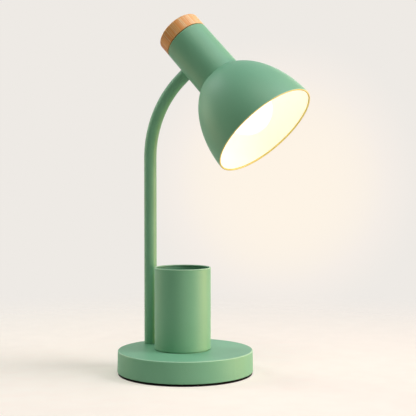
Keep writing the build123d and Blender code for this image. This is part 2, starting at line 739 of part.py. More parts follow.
def shade():
    outer = Ellipse(SHADE_RADIUS, SHADE_DEPTH)
    inner = Ellipse(SHADE_RADIUS - SHADE_WALL, SHADE_DEPTH - SHADE_WALL)
    wall = Pos(0, -SHADE_MIDDLE) * (outer - inner)
    bead_radius = RIM_BEAD_DIA / 2
    kept = Pos(0, bead_radius) * Rectangle(
        2 * SHADE_RADIUS, shade_back - bead_radius, align=(Align.MIN, Align.MIN)
    )
    top = Pos(0, shade_back - SHADE_WALL) * Rectangle(
        SHADE_TOP_RADIUS, SHADE_WALL, align=(Align.MIN, Align.MIN)
    )
    rim_radius = SHADE_RADIUS * sqrt(1 - ((bead_radius + SHADE_MIDDLE) / SHADE_DEPTH) ** 2)
    bead = Pos(rim_radius - bead_radius, bead_radius) * Circle(bead_radius)
    hole = Rectangle(HOLDER_DIA / 2 + HOLDER_HOLE_CLEARANCE, shade_back, align=(Align.MIN, Align.MIN))
    return spun((wall & kept) + top + bead - hole)


def lampholder_body():
    body = disc(HOLDER_DIA / 2, holder_front, holder_back)
    body = chamfer(body.edges().group_by(Axis.Z)[-1], HOLDER_CHAMFER)
    body += disc(HOLDER_FLANGE_DIA / 2, shade_back, shade_back + HOLDER_FLANGE_THICK)
    body -= disc(holder_bore_radius, holder_front, holder_floor)
    for place in across(HOLDER_SCREW_SPACING, HOLDER_SCREW_OFFSET):
        hole = disc(HOLDER_SCREW_DIA / 2 + FIT, holder_back - HOLDER_SCREW_DEPTH, holder_back)
        body -= place * hole
    return body


def shade_ring():
    back = shade_back - SHADE_WALL
    ring = disc(RING_DIA / 2, back - RING_THICK, back, bore=HOLDER_DIA / 2 + RING_CLEARANCE)
    for place in around(RING_NOTCHES, RING_DIA / 2):
        ring -= place * disc(NOTCH_DIA / 2, back - RING_THICK, back)
    return ring


def holder_screws():
    head_top = web_back + HOLDER_SCREW_HEAD_THICK
    head = disc(HOLDER_SCREW_HEAD_DIA / 2, web_back, head_top)
    head = fillet(head.edges().group_by(Axis.Z)[-1], HOLDER_SCREW_HEAD_THICK / 3)
    screw = head + disc(HOLDER_SCREW_DIA / 2, holder_back - HOLDER_SCREW_DEPTH, web_back)
    screw -= hexagon(HOLDER_SCREW_DIA * HEX_SOCKET, head_top - HOLDER_SCREW_HEAD_THICK / 2, head_top)
    return Compound([place * screw for place in across(HOLDER_SCREW_SPACING, HOLDER_SCREW_OFFSET)])


def thread_wall(radius, wall, start, turns):
    """A thin wall rolled into rings of the bulb's pitch."""
    steps = [step * THREAD_PITCH / 4 for step in range(4 * turns + 1)]
    wave = [THREAD_HEIGHT * sin(radians(90 * step)) for step in range(4 * turns + 1)]
    inner = Spline([(radius + height, start + along) for along, height in zip(steps, wave)])
    outer = Spline([(radius + wall + height, start + along) for along, height in zip(steps, wave)])
    ends = [Line(inner @ 0, outer @ 0), Line(inner @ 1, outer @ 1)]
    return spun(make_face([inner, outer, *ends]))


def lampholder_shell():
    radius = CAP_MEAN_RADIUS + CAP_WALL + SHELL_GAP
    start = housing_end + THREAD_PITCH * 1.5
    return thread_wall(radius, SHELL_WALL, start, THREAD_TURNS)


def centre_contact():
    front = tip_back + CONTACT_GAP
    plate = disc(CONTACT_DIA / 2, front, front + CONTACT_THICK)
    return plate + disc(CONTACT_POST_DIA / 2, front + CONTACT_THICK, holder_floor)


# Bulb


def bulb_globe():
    ball = Pos(0, bulb_centre) * (Circle(BULB_DIA / 2) - Circle(BULB_DIA / 2 - GLOBE_WALL))
    kept = Rectangle(BULB_DIA, globe_end, align=(Align.MIN, Align.MIN))
    return spun(ball & kept)


def bulb_housing():
    """The white body behind the globe, which it carries on without a step."""
    rise = globe_end - bulb_centre
    wide = sqrt((BULB_DIA / 2) ** 2 - rise**2)
    narrow = HOUSING_END_DIA / 2
    side = Spline((wide, globe_end), (narrow, housing_end), tangents=[(-rise, wide), (0, 1)])
    spigot = CAP_MEAN_RADIUS - THREAD_HEIGHT - SCREW_FIT
    spigot_back = housing_end + 2 * THREAD_PITCH
    rest = Polyline(
        (narrow, housing_end), (spigot, housing_end), (spigot, spigot_back), (0, spigot_back),
        (0, globe_end), (wide, globe_end),
    )
    return spun(make_face([side, *rest.edges()]))


def light_board():
    board_radius = sqrt((BULB_DIA / 2 - GLOBE_WALL) ** 2 - (globe_end - bulb_centre) ** 2)
    front = globe_end - BOARD_THICK
    board = disc(board_radius - BOARD_INSET, front, globe_end)
    for place in around(LIGHT_COUNT, board_radius / 2):
        chip = Box(LIGHT_SIZE, LIGHT_SIZE, LIGHT_THICK, align=(Align.CENTER, Align.CENTER, Align.MAX))
        board += place * Pos(0, 0, front) * chip
    return board


def bulb_cap():
    collar_back = housing_end + THREAD_PITCH / 2
    collar = disc(CAP_MEAN_RADIUS + CAP_WALL, housing_end, collar_back, bore=CAP_MEAN_RADIUS)
    return collar + thread_wall(CAP_MEAN_RADIUS, CAP_WALL, collar_back, THREAD_TURNS)


def bulb_insulator():
    cone = Cone(CAP_MEAN_RADIUS + CAP_WALL, TIP_DIA / 2, INSULATOR_LENGTH, align=STANDING)
    return Pos(0, 0, cap_back) * cone


def bulb_tip():
    tip = disc(TIP_DIA / 2, tip_front, tip_back)
    return fillet(tip.edges().group_by(Axis.Z)[-1], TIP_LENGTH / 2)


# Back of the neck


def end_plate():
    plate = disc(end_plate_radius, neck_back, plate_back, bore=DIMMER_BUSH_DIA / 2 + SCREW_FIT)
    for place in across(PILLAR_SPACING, PILLAR_OFFSET):
        plate -= place * disc(PLATE_SCREW_DIA / 2 + SCREW_FIT, neck_back, plate_back)
    return plate


def plate_screws():
    head_top = plate_back + PLATE_SCREW_HEAD_THICK
    head = disc(PLATE_SCREW_HEAD_DIA / 2, plate_back, head_top)
    head = fillet(head.edges().group_by(Axis.Z)[-1], PLATE_SCREW_HEAD_THICK / 3)
    end = neck_back - PLATE_SCREW_DEPTH + PLATE_SCREW_END_GAP
    screw = head + disc(PLATE_SCREW_DIA / 2, end, plate_back)
    screw -= hexagon(PLATE_SCREW_DIA * HEX_SOCKET, head_top - PLATE_SCREW_HEAD_THICK / 2, head_top)
    return Compound([place * screw for place in across(PILLAR_SPACING, PILLAR_OFFSET)])


def dimmer():
    body = disc(DIMMER_DIA / 2, dimmer_front, neck_back)
    body += disc(DIMMER_BUSH_DIA / 2, neck_back, bush_back)
    shaft_end = neck_back - SHAFT_IN_DIMMER - FACE_GAP
    return body - disc(SHAFT_DIA / 2 + RUNNING_CLEARANCE, shaft_end, bush_back)


def dimmer_nut():
    back = plate_back + DIMMER_NUT_THICK
    return hexagon(DIMMER_NUT_FLATS, plate_back, back, bore=DIMMER_BUSH_DIA / 2 + FIT)


def dimmer_shaft():
    return disc(SHAFT_DIA / 2, neck_back - SHAFT_IN_DIMMER, bush_back + SHAFT_PAST_BUSH)


def head_lead():
    """From the end of the hinge bolt to the front of the dimmer."""
    start = Vector(HINGE_FROM_AXIS, -bolt_end - FACE_GAP, hinge_from_mouth)
    out = start - Vector(0, LEAD_STRAIGHT_LENGTH, 0)
    into = Vector(HEAD_LEAD_OFFSET, -TERMINAL_SPACING / 2, dimmer_front)
    before = into - Vector(0, 0, LEAD_STRAIGHT_LENGTH)
    return lead_along(FilletPolyline(start, out, before, into, radius=LEAD_BEND_RADIUS), lead_radius)


def dimmer_lead():
    """From the front of the dimmer to the back of the lampholder."""
    start = Vector(DIMMER_LEAD_OFFSET, TERMINAL_SPACING / 2, dimmer_front)
    end = Vector(*lead_hole_place()) + Vector(0, 0, holder_back)
    leave = start - Vector(0, 0, LEAD_STRAIGHT_LENGTH)
    arrive = end + Vector(0, 0, LEAD_STRAIGHT_LENGTH)
    return lead_along(FilletPolyline(start, leave, arrive, end, radius=LEAD_BEND_RADIUS), lead_radius)


# Knob


def wood_cap():
    cap = disc(knob_radius, knob_front, knob_back)
    cap = fillet(cap.edges().group_by(Axis.Z)[-1], KNOB_EDGE_RADIUS)
    cap = fillet(cap.edges().group_by(Axis.Z)[0], KNOB_FOOT_RADIUS)
    screw_room = plate_back + PLATE_SCREW_HEAD_THICK + KNOB_SCREW_ROOM
    cap -= disc(knob_room_radius, knob_front, screw_room)
    cap -= disc(KNOB_NUT_ROOM_DIA / 2, knob_front, insert_front)
    cap -= disc(INSERT_FLANGE_DIA / 2 + FIT, insert_front, insert_front + INSERT_FLANGE_THICK)
    return cap - disc(INSERT_DIA / 2 + FIT, insert_front, insert_front + INSERT_LENGTH)


def knob_insert():
    insert = disc(INSERT_DIA / 2, insert_front, insert_front + INSERT_LENGTH)
    insert += disc(INSERT_FLANGE_DIA / 2, insert_front, insert_front + INSERT_FLANGE_THICK)
    return insert - disc(SHAFT_DIA / 2 + FIT, insert_front, insert_front + SHAFT_PAST_BUSH)


placed = [
    (base_frame, [
        base_cover, base_weight, base_plate, base_screws, foot_pad, cord_grommet, terminal_block,
        terminal_clamps, terminal_screws, base_lead, stem_bush, pen_cup, cup_screws,
    ]),
    (arm_frame, [
        stem_tube, stem_collar, stop_pin, stem_plug, thrust_washer, stem_nut, stem_lead,
    ]),
    (tail_frame, [knuckle, hinge_bolt, hinge_nut, friction_washers, spring_washers]),
    (head_frame, [
        hinge_bracket, pillars, neck_sleeve, shade, lampholder_body, shade_ring, holder_screws,
        lampholder_shell, centre_contact, bulb_globe, bulb_housing, light_board, bulb_cap,
        bulb_insulator, bulb_tip, end_plate, plate_screws, dimmer, dimmer_nut, dimmer_shaft,
        head_lead, dimmer_lead, wood_cap, knob_insert,
    ]),
]

os.makedirs("parts", exist_ok=True)
for frame, pieces in placed:
    for piece in pieces:
        export_step(frame * piece(), f"parts/{piece.__name__}.step")
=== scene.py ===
import json
import math

import bpy
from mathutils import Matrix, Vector

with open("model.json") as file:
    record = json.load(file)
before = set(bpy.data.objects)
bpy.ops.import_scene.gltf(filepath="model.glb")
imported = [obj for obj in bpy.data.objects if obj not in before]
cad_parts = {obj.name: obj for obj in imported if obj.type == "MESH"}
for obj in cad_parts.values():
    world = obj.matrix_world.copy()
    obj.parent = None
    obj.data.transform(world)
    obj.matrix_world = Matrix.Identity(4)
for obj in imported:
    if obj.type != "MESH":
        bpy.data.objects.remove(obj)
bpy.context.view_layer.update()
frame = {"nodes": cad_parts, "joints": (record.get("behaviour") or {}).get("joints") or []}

MM = 0.001

# The photograph's view, found from the ellipses of the base, the cup and the shade's mouth
CAMERA_AZIMUTH = math.radians(31.38)
CAMERA_PITCH = math.radians(1.94)
CAMERA_PLACE = (0.6349, -0.9895, 0.2348)
FOCAL_PIXELS = 1000.0
IMAGE_WIDTH = 416.0
SENSOR_MM = 36.0

TO_RIGHT = Vector((math.cos(CAMERA_AZIMUTH), math.sin(CAMERA_AZIMUTH), 0))
TO_CAMERA = Vector((math.sin(CAMERA_AZIMUTH), -math.cos(CAMERA_AZIMUTH), 0))
UP = Vector((0, 0, 1))

# The head's axis runs back from the shade's mouth, and the knob turns about it
KNOB_FROM_MOUTH = 160 * MM
knob_turn = next(joint for joint in frame["joints"] if joint["name"] == "knob_turn")
HEAD_AXIS = Vector(knob_turn["axis"])
MOUTH = Vector(knob_turn["pos_m"]) - HEAD_AXIS * KNOB_FROM_MOUTH
HEAD_PITCH = math.asin(HEAD_AXIS.z)
ACROSS_HEAD = Vector((HEAD_AXIS.z, 0, -HEAD_AXIS.x))
KNOB_RADIUS = 27.5 * MM


def linear(colour):
    """The linear RGBA of an sRGB hex colour."""
    parts = [int(colour[i : i + 2], 16) / 255 for i in (0, 2, 4)]
    return [*(p / 12.92 if p <= 0.04045 else ((p + 0.055) / 1.055) ** 2.4 for p in parts), 1.0]


def add(tree, kind, links=None, stops=(), **settings):
    """Adds a node. links maps an input to a value or to another node's output, stops are the
    places and colours of a colour ramp, and settings are the node's own properties."""
    node = tree.nodes.new(kind)
    for name, value in settings.items():
        setattr(node, name, value)
    for socket, value in (links or {}).items():
        if isinstance(value, bpy.types.NodeSocket):
            tree.links.new(value, node.inputs[socket])
        else:
            node.inputs[socket].default_value = value
    if stops:
        ramp = node.color_ramp
        while len(ramp.elements) < len(stops):
            ramp.elements.new(0.5)
        for element, (place, colour) in zip(ramp.elements, stops):
            element.position = place
            element.color = linear(colour)
    return node


# Noise keeps near 0.5. A pattern is fully dark below the first value and fully light above the
# second one.
DARK_AT = 0.3
LIGHT_AT = 0.7


def new_material(name):
    """An empty material, its node tree, and the coordinates that ride with the piece."""
    material = bpy.data.materials.new(name)
    material.use_nodes = True
    tree = material.node_tree
    tree.nodes.clear()
    return material, tree, add(tree, "ShaderNodeTexCoord").outputs["Object"]


def finish_material(tree, links, bump=None, depth=0.0):
    """The surface shader with its links, and a bump of the given depth in metres."""
    shader = add(tree, "ShaderNodeBsdfPrincipled", links)
    if bump is not None:
        lift = add(tree, "ShaderNodeBump", {"Height": bump, "Distance": depth})
        tree.links.new(lift.outputs["Normal"], shader.inputs["Normal"])
    add(tree, "ShaderNodeOutputMaterial", {"Surface": shader.outputs["BSDF"]})


# Each finish has the widths of its patterns before it. A cloud is a faint unevenness of colour.
COAT_CLOUD = 40 * MM
COAT_PEEL = 1.6 * MM
COAT_GRIT = 0.5 * MM


def powder_coat(name, light, dark):
    """Polyester powder coat, sprayed and baked: matte, with a faint orange peel.

    The peel of a real coat is under 1 mm, so it is drawn at 1.6 mm to show at all. The grains of
    the powder are under 0.1 mm and are drawn at 0.5 mm.
    """
    material, tree, where = new_material(name)
    cloud = add(
        tree, "ShaderNodeTexNoise", {"Vector": where, "Scale": 1 / COAT_CLOUD, "Detail": 3.0}
    )
    peel = add(
        tree, "ShaderNodeTexNoise", {"Vector": where, "Scale": 1 / COAT_PEEL, "Detail": 2.0}
    )
    grit = add(
        tree, "ShaderNodeTexNoise", {"Vector": where, "Scale": 1 / COAT_GRIT, "Detail": 1.0}
    )
    both = add(
        tree, "ShaderNodeMath", {0: cloud.outputs["Fac"], 1: grit.outputs["Fac"]}, operation="ADD"
    )
    mean = add(tree, "ShaderNodeMath", {0: both.outputs[0], 1: 0.5}, operation="MULTIPLY")
    paint = add(
        tree, "ShaderNodeValToRGB", {"Fac": mean.outputs[0]}, stops=[(0.35, dark), (0.65, light)]
    )
    rough = add(
        tree, "ShaderNodeMapRange", {"Value": peel.outputs["Fac"], "To Min": 0.44, "To Max": 0.56}
    )
    finish_material(
        tree,
        {
            "Base Color": paint.outputs["Color"],
            "Roughness": rough.outputs[0],
            "Specular IOR Level": 0.5,
        },
        bump=peel.outputs["Fac"],
        depth=0.05 * MM,
    )
    return material


ENAMEL_CLOUD = 25 * MM
ENAMEL_PEEL = 2 * MM
ENAMEL_GLOW = "fffaf2"
ENAMEL_GLOW_STRENGTH = 0.22


def enamel(name, light, dark):
    """Stove enamel on the inside of the shade: smooth, warm white, with a soft gloss.

    Its peel is about 2 mm wide, as on a real coat. The little glow stands for the light that is
    thrown about inside the shade many times.
    """
    material, tree, where = new_material(name)
    cloud = add(
        tree, "ShaderNodeTexNoise", {"Vector": where, "Scale": 1 / ENAMEL_CLOUD, "Detail": 2.0}
    )
    peel = add(
        tree, "ShaderNodeTexNoise", {"Vector": where, "Scale": 1 / ENAMEL_PEEL, "Detail": 1.0}
    )
    paint = add(
        tree,
        "ShaderNodeValToRGB",
        {"Fac": cloud.outputs["Fac"]},
        stops=[(DARK_AT, dark), (LIGHT_AT, light)],
    )
    finish_material(
        tree,
        {
            "Base Color": paint.outputs["Color"],
            "Roughness": 0.45,
            "Emission Color": linear(ENAMEL_GLOW),
            "Emission Strength": ENAMEL_GLOW_STRENGTH,
        },
        bump=peel.outputs["Fac"],
        depth=0.02 * MM,
    )
    return material


# The width of a faint unevenness in the painted glow on the rolled edge
RIM_GLOW_CLOUD = 8 * MM


def painted_rim_glow(name, light, dark):
    """Warm gold on the mouth's rolled edge: painted light, the glow of the bulb inside on the edge.
    """
    material, tree, where = new_material(name)
    cloud = add(
        tree, "ShaderNodeTexNoise", {"Vector": where, "Scale": 1 / RIM_GLOW_CLOUD, "Detail": 2.0}
    )
    paint = add(
        tree,
        "ShaderNodeValToRGB",
        {"Fac": cloud.outputs["Fac"]},
        stops=[(DARK_AT, dark), (LIGHT_AT, light)],
    )
    finish_material(
        tree,
        {"Base Color": paint.outputs["Color"], "Roughness": 0.4},
        bump=cloud.outputs["Fac"],
        depth=0.02 * MM,
    )
    return material


BEECH_PORE = 0.7 * MM
BEECH_FLECK = 1.1 * MM
# How far the grain is drawn out along the axis, how strong it is, and how much darker and paler
# than the middle the two sides are painted, as painted shade and painted light
GRAIN_STRETCH = 50
GRAIN_CONTRAST = 0.9
PAINTED_SHADE_SIDE = -0.12
PAINTED_LIT_SIDE = 0.14


def oiled_beech(name):
    """Beech, turned with its grain along the head's axis, sanded and oiled.

    Beech shows fine pores and short dark flecks a few millimetres long. The pores are about
    0.1 mm, so they are drawn 0.7 mm wide to show. One side of the cap is painted paler and the
    other darker, as painted light and shade.
    """
    material, tree, where = new_material(name)
    turned_back = add(
        tree,
        "ShaderNodeVectorRotate",
        {"Vector": where, "Center": MOUTH, "Axis": (0, 1, 0), "Angle": math.pi / 2 - HEAD_PITCH},
        rotation_type="AXIS_ANGLE",
    )
    board = add(
        tree,
        "ShaderNodeMapping",
        {"Vector": turned_back.outputs["Vector"], "Scale": (1.0, 1.0, 1 / GRAIN_STRETCH)},
    )
    pores = add(
        tree,
        "ShaderNodeTexNoise",
        {"Vector": board.outputs["Vector"], "Scale": 1 / BEECH_PORE, "Detail": 2.0},
    )
    flecks = add(
        tree,
        "ShaderNodeTexNoise",
        {"Vector": board.outputs["Vector"], "Scale": 1 / BEECH_FLECK, "Detail": 3.0},
    )
    both = add(
        tree, "ShaderNodeMath", {0: pores.outputs["Fac"], 1: flecks.outputs["Fac"]}, operation="ADD"
    )
    grain = add(
        tree,
        "ShaderNodeMath",
        {0: both.outputs[0], 1: GRAIN_CONTRAST, 2: 0.5 - GRAIN_CONTRAST},
        operation="MULTIPLY_ADD",
    )
    # One side of the cap painted paler and the other darker: painted light and shade
    across = add(
        tree, "ShaderNodeVectorMath", {0: where, 1: ACROSS_HEAD}, operation="DOT_PRODUCT"
    )
    centre = MOUTH.dot(ACROSS_HEAD)
    side = add(
        tree,
        "ShaderNodeMapRange",
        {
            "Value": across.outputs["Value"],
            "From Min": centre - KNOB_RADIUS,
            "From Max": centre + KNOB_RADIUS,
            "To Min": PAINTED_SHADE_SIDE,
            "To Max": PAINTED_LIT_SIDE,
        },
    )
    tone = add(
        tree, "ShaderNodeMath", {0: grain.outputs[0], 1: side.outputs[0]}, operation="ADD"
    )
    colour = add(
        tree,
        "ShaderNodeValToRGB",
        {"Fac": tone.outputs[0]},
        stops=[(0.28, "c27438"), (0.44, "ec9a4e"), (0.60, "ecb874"), (0.76, "eed4aa")],
    )
    rough = add(
        tree, "ShaderNodeMapRange", {"Value": pores.outputs["Fac"], "To Min": 0.42, "To Max": 0.60}
    )
    finish_material(
        tree,
        {"Base Color": colour.outputs["Color"], "Roughness": rough.outputs[0]},
        bump=pores.outputs["Fac"],
        depth=0.06 * MM,
    )
    return material


GLASS_CLOUD = 15 * MM


def opal_glass(name, glow, strength):
    """Opal glass, lit from inside by the light board, so evenly bright and without a hot spot."""
    material, tree, where = new_material(name)
    cloud = add(
        tree, "ShaderNodeTexNoise", {"Vector": where, "Scale": 1 / GLASS_CLOUD, "Detail": 1.0}
    )
    tint = add(
        tree,
        "ShaderNodeValToRGB",
        {"Fac": cloud.outputs["Fac"]},
        stops=[(DARK_AT, "f6f4ee"), (LIGHT_AT, "fbfaf6")],
    )
    finish_material(
        tree,
        {
            "Base Color": tint.outputs["Color"],
            "Roughness": 0.25,
            "Emission Color": linear(glow),
            "Emission Strength": strength,
        },
    )
    return material


def moulded(name, light, dark, roughness, grain_mm=1.2, depth_mm=0.02, gloss=0.5):
    """A moulded, fired or dipped surface: a fine even grain from how it was made.

    A real grain is mostly well under 0.1 mm, so it is drawn about 1 mm wide to show at all.
    """
    material, tree, where = new_material(name)
    grain = add(
        tree, "ShaderNodeTexNoise", {"Vector": where, "Scale": 1 / (grain_mm * MM), "Detail": 2.0}
    )
    colour = add(
        tree,
        "ShaderNodeValToRGB",
        {"Fac": grain.outputs["Fac"]},
        stops=[(DARK_AT, dark), (LIGHT_AT, light)],
    )
    finish_material(
        tree,
        {
            "Base Color": colour.outputs["Color"],
            "Roughness": roughness,
            "Specular IOR Level": gloss,
        },
        bump=grain.outputs["Fac"],
        depth=depth_mm * MM,
    )
    return material


def worked_metal(name, light, dark, smooth, rough, grain_mm, stretch=1.0, depth_mm=0.01):
    """A bare or plated metal with the marks of how it was worked, drawn out along Z by stretch.

    Real marks are about 0.1 mm apart, so they are drawn 1 mm apart or more to show at all.
    """
    material, tree, where = new_material(name)
    drawn = add(tree, "ShaderNodeMapping", {"Vector": where, "Scale": (1.0, 1.0, 1.0 / stretch)})
    marks = add(
        tree,
        "ShaderNodeTexNoise",
        {"Vector": drawn.outputs["Vector"], "Scale": 1 / (grain_mm * MM), "Detail": 4.0},
    )
    colour = add(
        tree,
        "ShaderNodeValToRGB",
        {"Fac": marks.outputs["Fac"]},
        stops=[(DARK_AT, dark), (LIGHT_AT, light)],
    )
    roughness = add(
        tree,
        "ShaderNodeMapRange",
        {"Value": marks.outputs["Fac"], "To Min": smooth, "To Max": rough},
    )
    finish_material(
        tree,
        {
            "Base Color": colour.outputs["Color"],
            "Metallic": 1.0,
            "Roughness": roughness.outputs[0],
        },
        bump=marks.outputs["Fac"],
        depth=depth_mm * MM,
    )
    return material


# The finishes that show
sage = powder_coat("PowderCoatSage", "76b594", "70af8e")
# The same coat, paler: the painted highlight on rounded edges
sage_painted_highlight = powder_coat("PowderCoatSagePaintedHighlight", "a0d2b4", "96caaa")
warm_white = enamel("EnamelWarmWhite", "fcfaf4", "faf8f0")
# The rolled edge's gold: painted light from the bulb inside
rim_glow = painted_rim_glow("PaintedRimGlowGold", "e8de88", "dcd076")
beech = oiled_beech("BeechOiled")
opal = opal_glass("GlassOpalLit", "fff4dc", 0.85)
# Moulded rubber: nearly black, and dull enough to stay dark against the pale floor
rubber = moulded("RubberBlack", "08080a", "050506", 0.9, grain_mm=1.5, depth_mm=0.05, gloss=0.15)
# The end plate painted a dull, even black: painted shade for the gap under the wooden cap
black_gap_shade = moulded("SteelBlackGapShade", "1c1b1a", "121211", 0.6, grain_mm=1.0)

# The finishes inside
# Phenolic resin pressed in a hot mould: hard and half glossy
phenolic = moulded("PhenolicBlack", "262627", "1b1b1c", 0.4, grain_mm=1.0)
# Moulded acetal in its own colour: milky and waxy
acetal = moulded("AcetalNatural", "e6e3d8", "dbd7ca", 0.45)
# Black glass pressed into the bulb's cap: glossy
vitrite = moulded("VitriteBlack", "17171a", "0f0f12", 0.15, grain_mm=2.0, depth_mm=0.01)
# Glazed and fired porcelain: glossy, with a slow wave in the glaze
porcelain = moulded("PorcelainGlazed", "efece3", "e4e0d5", 0.18, grain_mm=6.0, depth_mm=0.03)
# Moulded polycarbonate: clean white with a satin shine
polycarbonate = moulded("PolycarbonateWhite", "efefec", "e6e6e2", 0.35)
# White solder mask on the light board: smooth and even
circuit = moulded("SolderMaskWhite", "ebebe6", "dfdfd8", 0.3, grain_mm=0.8)
# Extruded silicone: soft grey and dull
silicone = moulded("SiliconeSheathGrey", "cfcfca", "c2c2bc", 0.55, grain_mm=0.8, depth_mm=0.03)
# Iron cast in sand: dark, rough and grainy
cast_iron = worked_metal("CastIron", "5c5c5e", "3f3f41", 0.55, 0.75, 1.2, depth_mm=0.15)
# Zinc plated steel: pale grey with a faint cloud from the bath
zinc = worked_metal("SteelZincPlated", "cdd0d3", "b5b9bd", 0.28, 0.42, 2.5, stretch=3.0)
# Steel and brass turned on a lathe: bright, with fine tool marks
turned = worked_metal("SteelTurned", "c2c3c5", "a5a6a9", 0.22, 0.36, 0.8, stretch=6.0)
brass = worked_metal("BrassTurned", "d9bd7a", "c2a25a", 0.22, 0.36, 1.0, stretch=2.0)
# Pressed aluminium sheet: pale and smooth
aluminium = worked_metal("AluminiumPressed", "d5d6d6", "bfc0c1", 0.25, 0.38, 1.5)

FINISHES = {
    sage: ["base_cover", "pen_cup", "stem_tube", "neck_sleeve", "shade"],
    beech: ["wood_cap"],
    opal: ["bulb_globe"],
    rubber: ["foot_pad", "cord_grommet"],
    phenolic: ["terminal_block", "dimmer", "shade_ring"],
    acetal: ["thrust_washer", "friction_washers"],
    vitrite: ["bulb_insulator"],
    porcelain: ["lampholder_body"],
    polycarbonate: ["bulb_housing"],
    circuit: ["light_board"],
    silicone: ["base_lead", "stem_lead", "head_lead", "dimmer_lead"],
    cast_iron: ["base_weight"],
    black_gap_shade: ["end_plate"],
    zinc: [
        "base_plate", "hinge_bracket", "base_screws", "cup_screws", "terminal_screws",
        "holder_screws", "plate_screws", "stem_nut", "hinge_nut", "hinge_bolt", "spring_washers",
        "dimmer_nut",
    ],
    turned: ["stem_collar", "stop_pin", "stem_plug", "knuckle", "pillars", "dimmer_shaft"],
    brass: [
        "terminal_clamps", "stem_bush", "lampholder_shell", "centre_contact", "bulb_tip",
        "knob_insert",
    ],
    aluminium: ["bulb_cap"],
}
for material, names in FINISHES.items():
    for name in names:
        slots = frame["nodes"][name].data.materials
        slots.clear()
        slots.append(material)

# A rounded edge at the end of a piece gets a paler coat: a painted highlight where the edge catches
# the light. The edge's faces are those near the end that are neither the side wall nor the flat end
# face, told apart by the cosine between a face's normal and the axis. The cup's rim has no flat end
# face.
SIDE_WALL = 0.05
END_FACE = 0.97
NO_END_FACE = 2.0
COVER_EDGE = 1.0 * MM
CUP_RIM = 1.5 * MM
NECK_EDGE = 0.4 * MM
for name, axis, depth, end_face in (
    ("base_cover", UP, COVER_EDGE, END_FACE),
    ("pen_cup", UP, CUP_RIM, NO_END_FACE),
    ("neck_sleeve", HEAD_AXIS, NECK_EDGE, END_FACE),
):
    mesh = frame["nodes"][name].data
    mesh.materials.append(sage_painted_highlight)
    end = max(corner.co.dot(axis) for corner in mesh.vertices)
    for face in mesh.polygons:
        if face.center.dot(axis) > end - depth and SIDE_WALL < face.normal.dot(axis) < end_face:
            face.material_index = 1

# The shade is enamelled inside. Its rolled edge is painted gold as painted light, the bulb's warm
# glow on the edge, and the edge's outer side has the paler coat as a painted highlight. The lengths
# are measured from the mouth. The rest are limits for how far a face's normal turns out from the
# head's axis, or back along it.
ENAMEL_SLOT, RIM_GLOW_SLOT, HIGHLIGHT_SLOT = 1, 2, 3
RIM_GLOW_DEPTH = 2.4 * MM
LIP_RADIUS = 1.3 * MM
OUTER_SIDE = 0.85
NECK_SIDE = 0.7
CROSSWISE = 0.2
shade_mesh = frame["nodes"]["shade"].data
for coat in (warm_white, rim_glow, sage_painted_highlight):
    shade_mesh.materials.append(coat)
for face in shade_mesh.polygons:
    from_mouth = face.center - MOUTH
    along = from_mouth.dot(HEAD_AXIS)
    outward = (from_mouth - HEAD_AXIS * along).normalized()
    faces_out = face.normal.dot(outward)
    faces_back = face.normal.dot(HEAD_AXIS)
    if along < RIM_GLOW_DEPTH:
        if faces_out < OUTER_SIDE:
            # The rolled edge: painted glow of the bulb's light
            face.material_index = RIM_GLOW_SLOT
        elif along < LIP_RADIUS:
            # The outer side of the rolled edge: painted highlight
            face.material_index = HIGHLIGHT_SLOT
    elif faces_out < 0 and faces_back < NECK_SIDE:
        face.material_index = ENAMEL_SLOT
    elif abs(faces_out) < CROSSWISE and faces_back < 0:
        face.material_index = ENAMEL_SLOT


def area_light(name, place, aim, width, power, colour):
    """A soft round lamp at a place, turned towards a point."""
    data = bpy.data.lights.new(name, "AREA")
    data.shape = "DISK"
    data.size = width
    data.energy = power
    data.color = linear(colour)[:3]
    light = bpy.data.objects.new(name, data)
    bpy.context.scene.collection.objects.link(light)
    light.location = place
    light.rotation_mode = "QUATERNION"
    light.rotation_quaternion = (aim - place).to_track_quat("-Z", "Y")
    light.visible_camera = False


def beside(right, near, up):
    """A place so far to the camera's right, towards it and up from the base, in metres."""
    return TO_RIGHT * right + TO_CAMERA * near + UP * up


# The lamps round the object: place, aim, width in metres, power in watts and colour. The low warm
# ones stand for the light that the table throws back from the lit bulb.
STEM_MIDDLE = Vector((0.02, 0, 0.2))
HEAD_MIDDLE = MOUTH + HEAD_AXIS * 60 * MM
LAMPS = {
    "KeyLight": (beside(2.7, 0.80, 2.1), STEM_MIDDLE, 1.8, 30.0, "fffaf4"),
    "HighLight": (beside(1.6, 0.35, 2.7), STEM_MIDDLE, 1.5, 33.0, "f2f1ff"),
    "BackLight": (beside(0.9, -2.1, 0.7), STEM_MIDDLE, 1.4, 9.0, "fff0e4"),
    "WarmLight": (beside(2.2, 0.5, 0.26), STEM_MIDDLE, 0.8, 22.0, "ffccb8"),
    "RimLight": (beside(-1.35, -0.75, 0.55), STEM_MIDDLE, 0.6, 3.8, "faffdc"),
    "SideLight": (beside(-1.3, -0.6, 1.5), STEM_MIDDLE, 0.8, 9.0, "f2fffa"),
    "TopLight": (beside(0.15, 0.75, 1.8), STEM_MIDDLE, 0.9, 8.0, "fff4ea"),
    "BounceLight": (beside(0.3, 1.4, 0.08), HEAD_MIDDLE, 0.4, 1.9, "fff4b0"),
    "LeftGlow": (beside(-1.3, -0.5, 0.10), HEAD_MIDDLE, 0.4, 1.3, "ffb878"),
    "FloorGlow": (beside(1.4, -0.22, 0.10), HEAD_MIDDLE, 0.4, 9.0, "ffd078"),
}
for name, settings in LAMPS.items():
    area_light(name, *settings)


